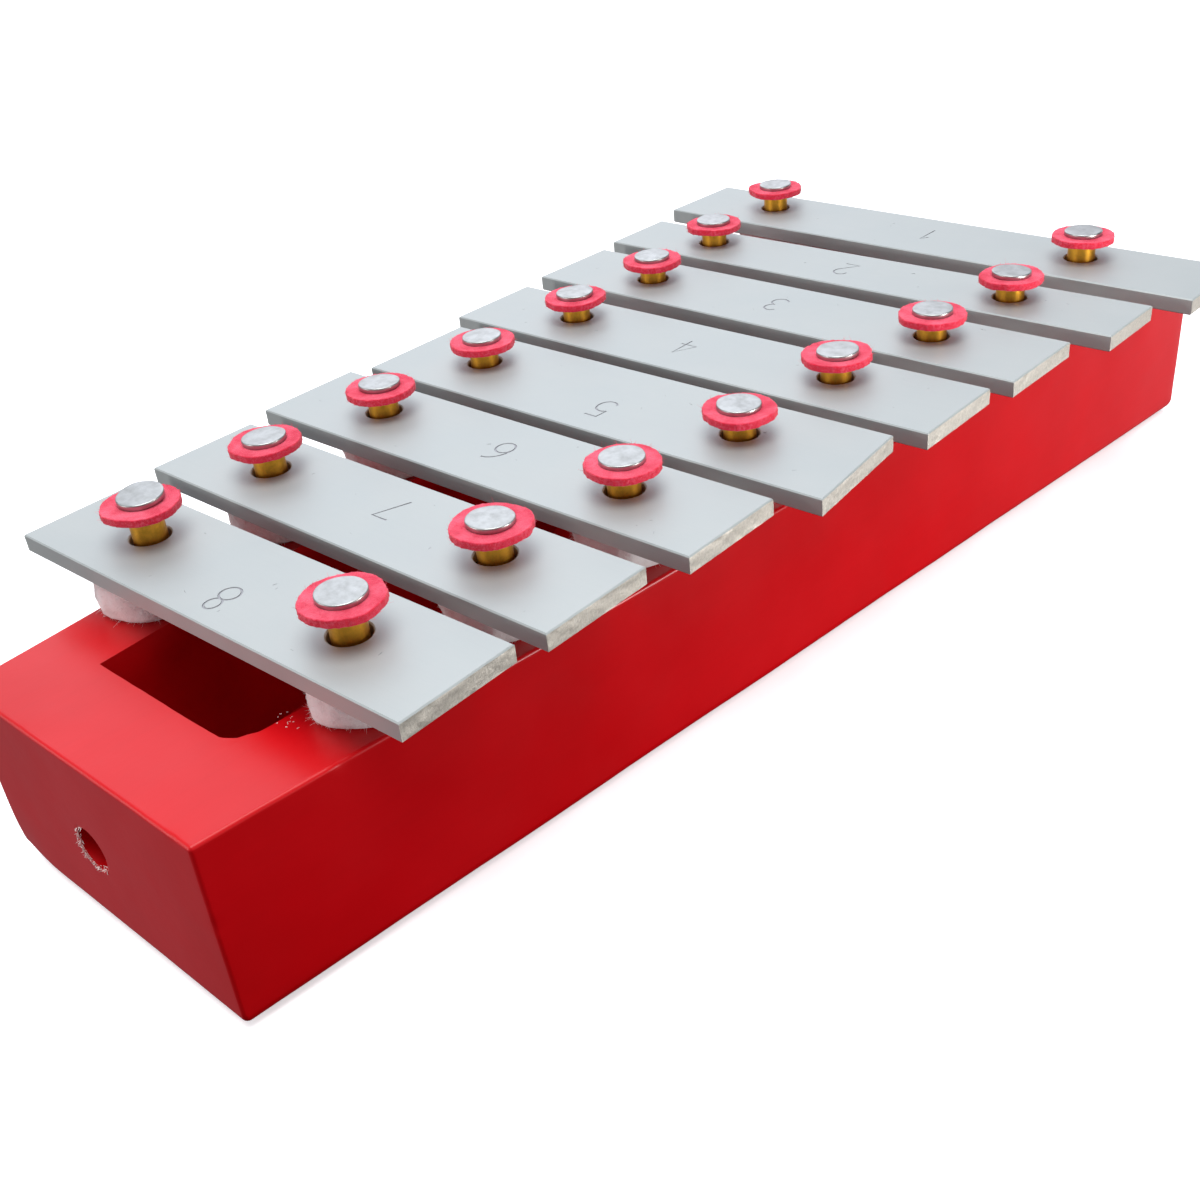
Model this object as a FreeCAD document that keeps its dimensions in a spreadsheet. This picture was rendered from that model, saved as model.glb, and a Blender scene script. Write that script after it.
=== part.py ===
import FreeCAD, Part
import os
import Sketcher
from FreeCAD import Vector

# Eight-note metal-bar instrument on a tapered wooden resonator box.
# Frame: +Z up, +Y from the short (high) bars to the long (low) bars, +X along the bars.
# Origin: the middle of the box's underside. Millimetres.

# The bars are cut, drilled and pinned by hand, so no two are quite alike. For each one, from the high end:
# its middle across and along the box, its turn in degrees, its length and width, how far its right end is
# out of square, how far left and right of its middle its holes are, how far aside of its middle line each
# hole is drilled, and how far it can rise to the washers.
BAR_COLUMNS = (
    "across", "along", "turn", "length", "width", "skew",
    "left_hole", "right_hole", "left_aside", "right_aside", "travel",
)
BARS = {
    "c7": (-0.9, -86, 1.1, 86, 20, 0, 24.8, 22.7, 0.9, -0.1, 4.4),
    "b6": (-1.3, -61.5, 0.3, 90, 20, 0, 26.8, 24.8, 0.6, 1.0, 3.8),
    "a6": (-1, -36.4, 0.4, 96, 20, 0, 28.2, 27.2, 1.0, 0.8, 3.4),
    "g6": (2.4, -11.3, 0.5, 99, 23.5, 2.3, 31.8, 27.1, 1.0, 0.3, 3.1),
    "f6": (1.6, 13.9, 0.2, 106.5, 20, 0, 31.3, 28.8, 1.5, 1.6, 3.1),
    "e6": (2, 39, -0.7, 110, 20, 0, 32.4, 32.9, 0.4, 1.1, 3),
    "d6": (3.8, 62.9, -0.4, 116.5, 17, 0, 37.3, 34, 1.6, 0.9, 3),
    "c6": (5.1, 88.7, -1.4, 124.5, 20.6, 0, 41.2, 34.5, 1.9, 1.8, 3.4),
}

DIMENSIONS = {
    "box_length": 236.5,
    "box_height": 31.4,
    "high_end_width": 57.4,
    "low_end_width": 103,
    "cavity_high_width": 30.6,
    "cavity_low_width": 63.6,
    "end_block_depth": 15.1,
    "base_thickness": 4,
    "corner_cove": 4.5,
    "edge_round": 0.6,
    "bottom_round": 2.4,
    "mallet_hole_diameter": 7,
    "mallet_hole_offset": -1.8,
    "mallet_hole_level": 15,
    "bar_thickness": 3,
    "bar_chamfer": 0.2,
    "bar_hole_diameter": 6.4,
    "base_felt_diameter": 16.5,
    "base_felt_height": 7,
    "felt_clearance": 0.05,
    "tube_diameter": 5.3,
    "tube_bore": 3,
    "top_felt_diameter": 12,
    "top_felt_thickness": 1.3,
    "nail_head_diameter": 7.2,
    "nail_head_height": 0.9,
    "nail_head_round": 0.3,
    "nail_diameter": 2.8,
    "nail_length": 37,
    "nail_point_length": 4,
    "nail_tip_diameter": 0.4,
    "nail_hole_clearance": 0.04,
    "nail_hole_spare_depth": 0.4,
}

# Levels and places that several pieces share, as expressions on the sheet.
BAR_BASE = "(Dims.box_height + Dims.base_felt_height)"
TAPER = "((Dims.low_end_width - Dims.high_end_width) / 2 / Dims.box_length)"
INNER_TAPER = "((Dims.cavity_low_width - Dims.cavity_high_width) / 2 / Dims.box_length)"
INNER_HALF_HIGH = "(Dims.cavity_high_width / 2)"
INNER_HALF_LOW = "(Dims.cavity_low_width / 2)"
HALF_LENGTH = "(Dims.box_length / 2)"

doc = FreeCAD.newDocument("bar_instrument")


def make_sheet():
    """Put every driving dimension in a named cell."""
    sheet = doc.addObject("Spreadsheet::Sheet", "Dims")
    cells = dict(DIMENSIONS)
    for note, values in BARS.items():
        cells.update({f"{column}_{note}": value for column, value in zip(BAR_COLUMNS, values)})
    for row, (name, value) in enumerate(cells.items(), 1):
        sheet.set(f"A{row}", name)
        sheet.set(f"B{row}", str(value))
        sheet.setAlias(f"B{row}", name)
    doc.recompute()
    return sheet


dims = make_sheet()


def pin_spot(note, side):
    """Where a bar's left (-1) or right (1) pin is, along and aside, measured from the bar's middle."""
    name = "left" if side < 0 else "right"
    return f"({side} * Dims.{name}_hole_{note})", f"Dims.{name}_aside_{note}"


def pin_place(note, side):
    """Where a pin stands on the box, across it and along it."""
    offset, aside = pin_spot(note, side)
    turn = f"(Dims.turn_{note} * 1 deg)"
    across = f"(Dims.across_{note} + {offset} * cos({turn}) - {aside} * sin({turn}))"
    along = f"(Dims.along_{note} + {offset} * sin({turn}) + {aside} * cos({turn}))"
    return across, along


def tube_height(note):
    """From the top of the box to the top of a bar's spacer tubes."""
    return f"(Dims.base_felt_height + Dims.bar_thickness + Dims.travel_{note})"


def head_base(note):
    """The level of the underside of a bar's nail heads."""
    return f"(Dims.box_height + {tube_height(note)} + Dims.top_felt_thickness)"


# ---------------------------------------------------------------- PartDesign helpers

def new_body(label):
    body = doc.addObject("PartDesign::Body", label)
    body.Label = label
    return body


def new_sketch(body, name, plane, offset=None):
    """A sketch on one of the body's own origin planes, moved along its normal by an expression."""
    sketch = body.newObject("Sketcher::SketchObject", name)
    support = next(f for f in body.Origin.OriginFeatures if f.Role == plane)
    sketch.AttachmentSupport = [(support, "")]
    sketch.MapMode = "FlatFace"
    if offset:
        sketch.setExpression("AttachmentOffset.Base.z", offset)
    return sketch


def bind(sketch, constraint, name, expression):
    """Add a dimension to a sketch and tie it to the sheet."""
    number = sketch.addConstraint(constraint)
    sketch.renameConstraint(number, name)
    sketch.setExpression(f"Constraints.{name}", expression)


def value_of(expression):
    """The present value of an expression, used for a first guess at a sketch's geometry."""
    return float(dims.evalExpression(expression.replace("Dims.", "")))


def place_point(sketch, geometry, end, name, x_expression, y_expression):
    """Fix one point of a sketch at a place measured from the sketch's origin."""
    x_value = value_of(x_expression)
    y_value = value_of(y_expression)
    across = Sketcher.Constraint("DistanceX", -1, 1, geometry, end, x_value)
    along = Sketcher.Constraint("DistanceY", -1, 1, geometry, end, y_value)
    bind(sketch, across, f"{name}_x", x_expression)
    bind(sketch, along, f"{name}_y", y_expression)


def draw_polygon(sketch, corners):
    """A closed outline of straight lines with every corner fixed by two expressions."""
    points = [Vector(value_of(x), value_of(y), 0) for x, y in corners]
    following = points[1:] + points[:1]
    for start, end in zip(points, following):
        sketch.addGeometry(Part.LineSegment(start, end), False)
    for line in range(len(corners)):
        after = (line + 1) % len(corners)
        sketch.addConstraint(Sketcher.Constraint("Coincident", line, 2, after, 1))
    for line, (x, y) in enumerate(corners):
        place_point(sketch, line, 1, f"corner{line}", x, y)


def draw_circle(sketch, x_expression, y_expression, diameter_expression):
    centre = Vector(value_of(x_expression), value_of(y_expression), 0)
    radius = value_of(diameter_expression) / 2
    circle = sketch.addGeometry(Part.Circle(centre, Vector(0, 0, 1), radius), False)
    place_point(sketch, circle, 3, f"circle{circle}", x_expression, y_expression)
    size = Sketcher.Constraint("Radius", circle, radius)
    bind(sketch, size, f"radius{circle}", f"{diameter_expression} / 2")


def pad(body, sketch, name, height):
    feature = body.newObject("PartDesign::Pad", name)
    feature.Profile = sketch
    feature.setExpression("Length", height)
    sketch.Visibility = False
    doc.recompute()
    return feature


def pocket(body, sketch, name, depth):
    """Cut a sketch into the body, and make sure that it removed material."""
    before = body.Shape.Volume
    feature = body.newObject("PartDesign::Pocket", name)
    feature.Profile = sketch
    feature.setExpression("Length", depth)
    doc.recompute()
    if body.Shape.Volume >= before:
        raise RuntimeError(f"{body.Label}: {name} cuts nothing")
    return feature


def dress_edges(body, kind, name, chosen, size_property, size):
    """Round or chamfer the edges of the body's present shape that pass a test."""
    base = body.Tip
    names = [f"Edge{n}" for n, edge in enumerate(base.Shape.Edges, 1) if chosen(edge)]
    feature = body.newObject(kind, name)
    feature.Base = (base, names)
    feature.setExpression(size_property, size)
    doc.recompute()
    return feature


def lies_on(edge, distance):
    """True if the whole edge is where the given distance function is zero."""
    return all(abs(distance(vertex.Point)) < 0.01 for vertex in edge.Vertexes)


# ---------------------------------------------------------------- resonator box

def outer_half_width(y):
    taper = value_of(TAPER)
    return value_of("Dims.high_end_width / 2") + taper * (y + value_of(HALF_LENGTH))


def round_outside(body, outside_walls):
    """Round a board's outside edges: larger along the bottom than on top and at the corners."""
    height = value_of("Dims.box_height")

    def on_wall(edge):
        return any(lies_on(edge, wall) for wall in outside_walls)

    def at_bottom(edge):
        return on_wall(edge) and lies_on(edge, lambda p: p.z)

    def at_top_or_corner(edge):
        on_two_walls = sum(lies_on(edge, wall) for wall in outside_walls) > 1
        return on_wall(edge) and (lies_on(edge, lambda p: p.z - height) or on_two_walls)

    dress_edges(body, "PartDesign::Fillet", "TopRound", at_top_or_corner, "Radius", "Dims.edge_round")
    dress_edges(body, "PartDesign::Fillet", "BottomRound", at_bottom, "Radius", "Dims.bottom_round")


def make_side_rail(label, side):
    """A side board from end to end, with a blind hole for each bar's nail."""
    body = new_body(label)
    outline = new_sketch(body, "Outline", "XY_Plane")
    draw_polygon(outline, [
        (f"{side} * {INNER_HALF_HIGH}", f"-{HALF_LENGTH}"),
        (f"{side} * Dims.high_end_width / 2", f"-{HALF_LENGTH}"),
        (f"{side} * Dims.low_end_width / 2", HALF_LENGTH),
        (f"{side} * {INNER_HALF_LOW}", HALF_LENGTH),
    ])
    pad(body, outline, "Board", "Dims.box_height")
    half_length = value_of(HALF_LENGTH)
    round_outside(body, [
        lambda p: abs(p.x) - outer_half_width(p.y),
        lambda p: p.y - half_length,
        lambda p: p.y + half_length,
    ])
    for note in BARS:
        hole = new_sketch(body, f"NailHole_{note}", "XY_Plane", "Dims.box_height")
        x, y = pin_place(note, side)
        draw_circle(hole, x, y, "(Dims.nail_diameter + Dims.nail_hole_clearance)")
        depth = f"(Dims.box_height - {head_base(note)} + Dims.nail_length + Dims.nail_hole_spare_depth)"
        pocket(body, hole, f"NailHoleCut_{note}", depth)
    return body


def block_outline(end):
    """Corners of an end block, which fills the space between the rails; end is -1 high, 1 low."""
    inner_half = INNER_HALF_HIGH if end < 0 else INNER_HALF_LOW
    outer_y = f"{end} * {HALF_LENGTH}"
    inner_y = f"{end} * ({HALF_LENGTH} - Dims.end_block_depth)"
    narrowed = f"({inner_half} - {end} * {INNER_TAPER} * Dims.end_block_depth)"
    return [
        (f"-{inner_half}", outer_y),
        (inner_half, outer_y),
        (narrowed, inner_y),
        (f"-{narrowed}", inner_y),
    ]


def make_end_block(label, end):
    body = new_body(label)
    outline = new_sketch(body, "Outline", "XY_Plane")
    draw_polygon(outline, block_outline(end))
    pad(body, outline, "Board", "Dims.box_height")
    outer_y = end * value_of(HALF_LENGTH)
    round_outside(body, [lambda p: p.y - outer_y])
    return body


def add_cove(body):
    """The coved inside corner between the high end block and the right rail, above the base."""
    corner_x, corner_y = block_outline(-1)[2]
    rail_x = f"{corner_x} + {INNER_TAPER} * Dims.corner_cove"
    rail_y = f"{corner_y} + Dims.corner_cove"
    block_x = f"{corner_x} - Dims.corner_cove"
    radius = f"Dims.corner_cove * (1 + (1 + {INNER_TAPER}) ^ 2) / 2"
    sketch = new_sketch(body, "CoveOutline", "XY_Plane", "Dims.base_thickness")
    corner = Vector(value_of(corner_x), value_of(corner_y), 0)
    on_rail = Vector(value_of(rail_x), value_of(rail_y), 0)
    on_block = Vector(value_of(block_x), value_of(corner_y), 0)
    centre = on_block + Vector(0, value_of(radius), 0)
    chord = on_rail - centre
    middle = centre + (chord.normalize() + Vector(0, -1, 0)).normalize() * value_of(radius)
    sketch.addGeometry(Part.LineSegment(on_block, corner), False)
    sketch.addGeometry(Part.LineSegment(corner, on_rail), False)
    sketch.addGeometry(Part.ArcOfCircle(on_block, middle, on_rail), False)
    sketch.addConstraint(Sketcher.Constraint("Coincident", 0, 2, 1, 1))
    sketch.addConstraint(Sketcher.Constraint("Coincident", 2, 1, 0, 1))
    sketch.addConstraint(Sketcher.Constraint("Coincident", 2, 2, 1, 2))
    place_point(sketch, 0, 1, "on_block", block_x, corner_y)
    place_point(sketch, 0, 2, "inside_corner", corner_x, corner_y)
    place_point(sketch, 1, 2, "on_rail", rail_x, rail_y)
    bind(sketch, Sketcher.Constraint("Radius", 2, value_of(radius)), "cove_radius", radius)
    pad(body, sketch, "Cove", "Dims.box_height - Dims.base_thickness")


def make_high_end_block():
    """The high end block, with its coved corner and the hole that a mallet's stick slides into."""
    body = make_end_block("high_end_block", -1)
    add_cove(body)
    hole = new_sketch(body, "MalletHole", "XZ_Plane", HALF_LENGTH)
    draw_circle(hole, "Dims.mallet_hole_offset", "Dims.mallet_hole_level", "Dims.mallet_hole_diameter")
    pocket(body, hole, "MalletHoleCut", "Dims.end_block_depth")
    return body


def make_base_panel():
    """The floor, let in between the four boards and flush with their undersides."""
    body = new_body("base_panel")
    high = block_outline(-1)
    low = block_outline(1)
    outline = new_sketch(body, "Outline", "XY_Plane")
    draw_polygon(outline, [high[3], high[2], low[2], low[3]])
    pad(body, outline, "Panel", "Dims.base_thickness")
    return body


# ---------------------------------------------------------------- sound bars

def place_with_bar(piece, note):
    """Move and turn a piece made about the origin to where its bar lies."""
    piece.setExpression("Placement.Base.x", f"Dims.across_{note}")
    piece.setExpression("Placement.Base.y", f"Dims.along_{note}")
    piece.setExpression("Placement.Rotation.Angle", f"Dims.turn_{note}")


def make_bar(note):
    body = new_body(f"bar_{note}")
    half = f"(Dims.length_{note} / 2)"
    half_width = f"(Dims.width_{note} / 2)"
    outline = new_sketch(body, "Outline", "XY_Plane")
    draw_polygon(outline, [
        (f"-{half}", f"-{half_width}"),
        (f"{half} + Dims.skew_{note} / 2", f"-{half_width}"),
        (f"{half} - Dims.skew_{note} / 2", half_width),
        (f"-{half}", half_width),
    ])
    pad(body, outline, "Bar", "Dims.bar_thickness")
    holes = new_sketch(body, "PinHoles", "XY_Plane", "Dims.bar_thickness")
    for side in (-1, 1):
        draw_circle(holes, *pin_spot(note, side), "Dims.bar_hole_diameter")
    pocket(body, holes, "PinHoleCuts", "Dims.bar_thickness")
    upright = value_of("Dims.bar_thickness")

    def is_level(edge):
        return lies_on(edge, lambda p: p.z) or lies_on(edge, lambda p: p.z - upright)

    dress_edges(body, "PartDesign::Chamfer", "Deburr", is_level, "Size", "Dims.bar_chamfer")
    place_with_bar(body, note)
    body.setExpression("Placement.Base.z", BAR_BASE)
    return body


# ---------------------------------------------------------------- pins and felts

def cylinder(name, diameter, height, spot, base):
    piece = doc.addObject("Part::Cylinder", name)
    piece.setExpression("Radius", f"{diameter} / 2")
    piece.setExpression("Height", height)
    piece.setExpression("Placement.Base.x", spot[0])
    piece.setExpression("Placement.Base.y", spot[1])
    piece.setExpression("Placement.Base.z", base)
    return piece


def ring(name, outer, bore, height, spot, base):
    """A round piece with a hole through its middle."""
    cut = doc.addObject("Part::Cut", name)
    cut.Base = cylinder(f"{name}_outside", outer, height, spot, base)
    cut.Tool = cylinder(f"{name}_bore", bore, height, spot, base)
    return cut


def nail(name, spot, base):
    """A flat-headed nail: rounded head, round shank and a turned point. The base is the head's underside."""
    head = cylinder(f"{name}_head", "Dims.nail_head_diameter", "Dims.nail_head_height", spot, base)
    tip_level = f"({base} - Dims.nail_length)"
    shank_length = "(Dims.nail_length - Dims.nail_point_length)"
    shank_level = f"({tip_level} + Dims.nail_point_length)"
    shank = cylinder(f"{name}_shank", "Dims.nail_diameter", shank_length, spot, shank_level)
    point = doc.addObject("Part::Cone", f"{name}_point")
    point.setExpression("Radius1", "Dims.nail_tip_diameter / 2")
    point.setExpression("Radius2", "Dims.nail_diameter / 2")
    point.setExpression("Height", "Dims.nail_point_length")
    point.setExpression("Placement.Base.x", spot[0])
    point.setExpression("Placement.Base.y", spot[1])
    point.setExpression("Placement.Base.z", tip_level)
    rounded = doc.addObject("Part::Fillet", f"{name}_rounded_head")
    rounded.Base = head
    doc.recompute()
    radius = value_of("Dims.nail_head_round")
    top = value_of(f"{base} + Dims.nail_head_height")
    rims = [n for n, edge in enumerate(head.Shape.Edges, 1) if lies_on(edge, lambda p: p.z - top)]
    rounded.Edges = [(n, radius, radius) for n in rims]
    whole = doc.addObject("Part::MultiFuse", name)
    whole.Shapes = [rounded, shank, point]
    return whole


def make_pair(kind, note, make_one):
    """The same piece at each of a bar's two pins, as one node of two solids."""
    label = f"{kind}_{note}"
    both = doc.addObject("Part::Compound", label)
    both.Label = label
    both.Links = [
        make_one(f"{label}_left", pin_spot(note, -1)),
        make_one(f"{label}_right", pin_spot(note, 1)),
    ]
    place_with_bar(both, note)
    return both


def make_pins(note):
    """The nails, tubes and felts that carry one bar."""
    height = tube_height(note)

    def tube(name, spot):
        return ring(name, "Dims.tube_diameter", "Dims.tube_bore", height, spot, "Dims.box_height")

    def top_felt(name, spot):
        level = f"(Dims.box_height + {height})"
        return ring(name, "Dims.top_felt_diameter", "Dims.tube_bore", "Dims.top_felt_thickness", spot, level)

    def base_felt(name, spot):
        bore = "(Dims.tube_diameter + 2 * Dims.felt_clearance)"
        thickness = "(Dims.base_felt_height - Dims.felt_clearance)"
        return ring(name, "Dims.base_felt_diameter", bore, thickness, spot, "Dims.box_height")

    return [
        make_pair("nails", note, lambda name, spot: nail(name, spot, head_base(note))),
        make_pair("spacer_tubes", note, tube),
        make_pair("top_felts", note, top_felt),
        make_pair("base_felts", note, base_felt),
    ]


# ---------------------------------------------------------------- build, check and write

def build_all():
    pieces = [
        make_side_rail("left_side_rail", -1),
        make_side_rail("right_side_rail", 1),
        make_high_end_block(),
        make_end_block("low_end_block", 1),
        make_base_panel(),
    ]
    for note in BARS:
        pieces.append(make_bar(note))
        pieces.extend(make_pins(note))
    doc.recompute()
    return pieces


def check(pieces):
    for thing in doc.Objects:
        if "Invalid" in thing.State or "Error" in thing.State:
            raise RuntimeError(f"{thing.Label} failed: {thing.State}")
    for piece in pieces:
        if piece.Shape.isNull() or not piece.Shape.isValid():
            raise RuntimeError(f"{piece.Label} has no valid shape")


def write(pieces):
    os.makedirs("parts", exist_ok=True)
    for piece in pieces:
        piece.Shape.exportStep(f"parts/{piece.Label}.step")
        print(piece.Label, len(piece.Shape.Solids), round(piece.Shape.Volume, 2))


all_pieces = build_all()
check(all_pieces)
write(all_pieces)
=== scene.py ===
import math
import random

import bmesh
import bpy
from mathutils import Matrix, Vector, noise


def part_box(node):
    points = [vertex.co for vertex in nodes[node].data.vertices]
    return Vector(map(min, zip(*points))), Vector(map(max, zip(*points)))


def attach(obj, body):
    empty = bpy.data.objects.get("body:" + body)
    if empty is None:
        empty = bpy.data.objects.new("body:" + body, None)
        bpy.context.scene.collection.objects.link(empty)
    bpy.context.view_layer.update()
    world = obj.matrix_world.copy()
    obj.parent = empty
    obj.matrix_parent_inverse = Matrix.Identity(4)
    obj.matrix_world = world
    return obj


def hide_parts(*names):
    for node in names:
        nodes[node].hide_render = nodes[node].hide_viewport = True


# Looks for an eight-note metal-bar instrument: a tapered wooden box in thick red paint, loose satin bars
# on felt, and nails through brass tubes. Metres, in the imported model's own frame: +Z up, +Y from the short
# bars to the long ones, +X along the bars.

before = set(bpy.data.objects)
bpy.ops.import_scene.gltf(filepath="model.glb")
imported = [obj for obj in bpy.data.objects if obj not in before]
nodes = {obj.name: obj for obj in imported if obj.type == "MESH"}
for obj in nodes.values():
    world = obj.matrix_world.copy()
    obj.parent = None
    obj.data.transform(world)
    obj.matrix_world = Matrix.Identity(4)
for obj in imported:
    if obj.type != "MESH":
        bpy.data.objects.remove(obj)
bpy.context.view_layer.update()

# Blender takes the seed of its vector noise from the clock, unless a script sets it.
NOISE_SEED = 1794879463
noise.seed_set(NOISE_SEED)

MM = 0.001
NOTES = ("c7", "b6", "a6", "g6", "f6", "e6", "d6", "c6")
BOX_BODY = "resonator_box"


# ---------------------------------------------------------------- small helpers

def from_mm(*values):
    return Vector(values) * MM


def solid_boxes(node):
    """The low and high corners of the left and the right solid of a node that holds a pair."""
    points = [vertex.co for vertex in nodes[node].data.vertices]
    low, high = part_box(node)
    middle = (low.x + high.x) / 2
    found = []
    for half in ([p for p in points if p.x < middle], [p for p in points if p.x >= middle]):
        corners = [[pick(p[axis] for p in half) for axis in range(3)] for pick in (min, max)]
        found.append((Vector(corners[0]), Vector(corners[1])))
    return found


def foot(low, high):
    """The middle of a solid's underside."""
    return Vector(((low.x + high.x) / 2, (low.y + high.y) / 2, low.z))


def noise_place(chance):
    """A place of its own in the noise for each solid, so that no two are shaped alike."""
    return Vector([chance.uniform(-50, 50) for _ in range(3)])


def finish_mesh(bm, name, materials, sharp_angle):
    """Turn an edited mesh into an object, with smooth shading up to an angle."""
    mesh = bpy.data.meshes.new(name)
    bm.normal_update()
    bm.to_mesh(mesh)
    bm.free()
    if "custom_normal" in mesh.attributes:
        mesh.attributes.remove(mesh.attributes["custom_normal"])
    for polygon in mesh.polygons:
        polygon.use_smooth = True
    mesh.set_sharp_from_angle(angle=math.radians(sharp_angle))
    for material in materials:
        mesh.materials.append(material)
    piece = bpy.data.objects.new(name, mesh)
    bpy.context.scene.collection.objects.link(piece)
    return piece


def stand_in_for(piece, body, slot, *replaced):
    """Put a finished piece on its body in place of the CAD nodes that it stands for."""
    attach(piece, body)
    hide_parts(*replaced)


# ---------------------------------------------------------------- materials

class Shader:
    """A material with one Principled shader, and short ways to add nodes to it."""

    def __init__(self, name, **values):
        self.material = bpy.data.materials.new(name)
        self.material.use_nodes = True
        self.tree = self.material.node_tree
        self.tree.nodes.clear()
        self.surface = self.add("ShaderNodeBsdfPrincipled")
        output = self.add("ShaderNodeOutputMaterial")
        self.join(self.surface.outputs["BSDF"], output.inputs["Surface"])
        self.place = self.add("ShaderNodeTexCoord").outputs["Object"]
        for key, value in values.items():
            self.surface.inputs[key.replace("_", " ")].default_value = value

    def add(self, kind, **settings):
        node = self.tree.nodes.new(kind)
        for key, value in settings.items():
            setattr(node, key, value)
        return node

    def join(self, source, target):
        self.tree.links.new(source, target)

    def stretched(self, scale):
        """The object's own coordinates, scaled by a different amount on each axis."""
        mapping = self.add("ShaderNodeMapping")
        self.join(self.place, mapping.inputs["Vector"])
        mapping.inputs["Scale"].default_value = scale
        return mapping.outputs["Vector"]

    def noise(self, size_mm, detail=4.0, rough=0.55, stretch=None):
        """Cloudy noise whose features are about size_mm across."""
        node = self.add("ShaderNodeTexNoise")
        source = self.stretched(stretch) if stretch else self.place
        self.join(source, node.inputs["Vector"])
        node.inputs["Scale"].default_value = 1 / (size_mm * MM)
        node.inputs["Detail"].default_value = detail
        node.inputs["Roughness"].default_value = rough
        return node.outputs["Fac"]

    def steps(self, source, low, high, low_value=0.0, high_value=1.0):
        """Stretch the part of a signal between low and high over another range."""
        node = self.add("ShaderNodeMapRange")
        self.join(source, node.inputs["Value"])
        numbers = {"From Min": low, "From Max": high, "To Min": low_value, "To Max": high_value}
        for key, value in numbers.items():
            node.inputs[key].default_value = value
        return node.outputs["Result"]

    def math(self, operation, first, second):
        node = self.add("ShaderNodeMath", operation=operation)
        for socket, value in zip(node.inputs, (first, second)):
            if isinstance(value, float):
                socket.default_value = value
            else:
                self.join(value, socket)
        return node.outputs["Value"]

    def mix(self, factor, first, second):
        """Blend two colours. Each is a colour or another node's output."""
        node = self.add("ShaderNodeMix", data_type="RGBA")
        self.join(factor, node.inputs["Factor"])
        for name, value in (("A", first), ("B", second)):
            socket = next(s for s in node.inputs if s.name == name and s.type == "RGBA")
            if isinstance(value, tuple):
                socket.default_value = (*value, 1)
            else:
                self.join(value, socket)
        return next(s for s in node.outputs if s.type == "RGBA")

    def colour(self, source):
        self.join(source, self.surface.inputs["Base Color"])

    def roughness(self, source):
        self.join(source, self.surface.inputs["Roughness"])

    def relief(self, *layers):
        """Stack bumps, each a signal and its height in millimetres."""
        normal = None
        for source, height_mm in layers:
            node = self.add("ShaderNodeBump")
            node.inputs["Strength"].default_value = 1
            node.inputs["Distance"].default_value = height_mm * MM
            self.join(source, node.inputs["Height"])
            if normal:
                self.join(normal, node.inputs["Normal"])
            normal = node.outputs["Normal"]
        self.join(normal, self.surface.inputs["Normal"])

    def attribute(self, name):
        return self.add("ShaderNodeAttribute", attribute_name=name).outputs["Fac"]


def make_paint():
    """Thick satin red paint over wood, with faint grain under it and pale wear where it has chipped."""
    paint = Shader("painted_wood_red", Specular_IOR_Level=0.36)
    cloud = paint.steps(paint.noise(34), 0.35, 0.65)
    red = paint.mix(cloud, (0.53, 0.0008, 0.003), (0.60, 0.0012, 0.0045))
    grain = paint.noise(1.1, 5.0, 0.6, stretch=(1, 0.045, 1))
    red = paint.mix(paint.steps(grain, 0.45, 0.75, 0.0, 0.07), red, (0.36, 0.002, 0.004))
    broken = paint.steps(paint.noise(0.4, 6.0, 0.7), 0.38, 0.62, -0.45, 0.3)
    worn = paint.steps(paint.math("ADD", paint.attribute("wear"), broken), 0.42, 0.58)
    bare = paint.mix(paint.noise(0.5), (0.86, 0.55, 0.52), (0.97, 0.84, 0.80))
    paint.colour(paint.mix(worn, red, bare))
    smudge = paint.steps(paint.noise(14, 4.0, 0.5), 0.3, 0.7, 0.30, 0.36)
    paint.roughness(paint.math("ADD", smudge, paint.math("MULTIPLY", worn, 0.35)))
    paint.relief((grain, 0.006), (paint.noise(0.8, 3.0), 0.005), (paint.noise(4.5, 2.0), 0.015))
    return paint.material


def make_bare_wood():
    """Pale pink-stained wood where the paint has torn away."""
    bare = Shader("bare_wood_stained", Roughness=0.8)
    bare.colour(bare.mix(bare.noise(0.4, 5.0), (0.86, 0.56, 0.53), (0.98, 0.88, 0.84)))
    bare.relief((bare.noise(0.2, 4.0), 0.03))
    return bare.material


def make_satin():
    """Matt satin aluminium with a fine drawn grain along the bar and a few handling marks."""
    satin = Shader("bar_aluminium_satin", Metallic=0.55)
    streaks = satin.noise(0.35, 4.0, 0.6, stretch=(0.02, 1, 1))
    cloud = satin.noise(16, 4.0)
    tone = satin.mix(satin.steps(cloud, 0.35, 0.65), (0.415, 0.452, 0.442), (0.443, 0.476, 0.464))
    tone = satin.mix(satin.steps(streaks, 0.5, 0.8, 0.0, 0.12), tone, (0.376, 0.398, 0.392))
    spots = satin.steps(satin.noise(2.6, 6.0, 0.75), 0.69, 0.76, 0.0, 0.35)
    satin.colour(satin.mix(spots, tone, (0.36, 0.36, 0.37)))
    satin.roughness(satin.steps(cloud, 0.3, 0.7, 0.5, 0.58))
    satin.relief((streaks, 0.0016), (satin.noise(0.25, 3.0), 0.0012))
    return satin.material


def make_sawn():
    """The sawn ends and drilled holes of the bars: rough, warm grey, speckled."""
    sawn = Shader("bar_aluminium_sawn", Metallic=0.75)
    speck = sawn.noise(0.42, 6.0, 0.75)
    lines = sawn.noise(0.3, 4.0, 0.65, stretch=(1, 1, 0.12))
    tone = sawn.mix(sawn.steps(speck, 0.3, 0.7), (0.43, 0.395, 0.34), (0.69, 0.645, 0.57))
    sawn.colour(sawn.mix(sawn.steps(lines, 0.55, 0.75, 0.0, 0.5), tone, (0.66, 0.645, 0.605)))
    sawn.roughness(sawn.steps(speck, 0.3, 0.7, 0.42, 0.68))
    sawn.relief((lines, 0.05), (speck, 0.06))
    return sawn.material


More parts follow.
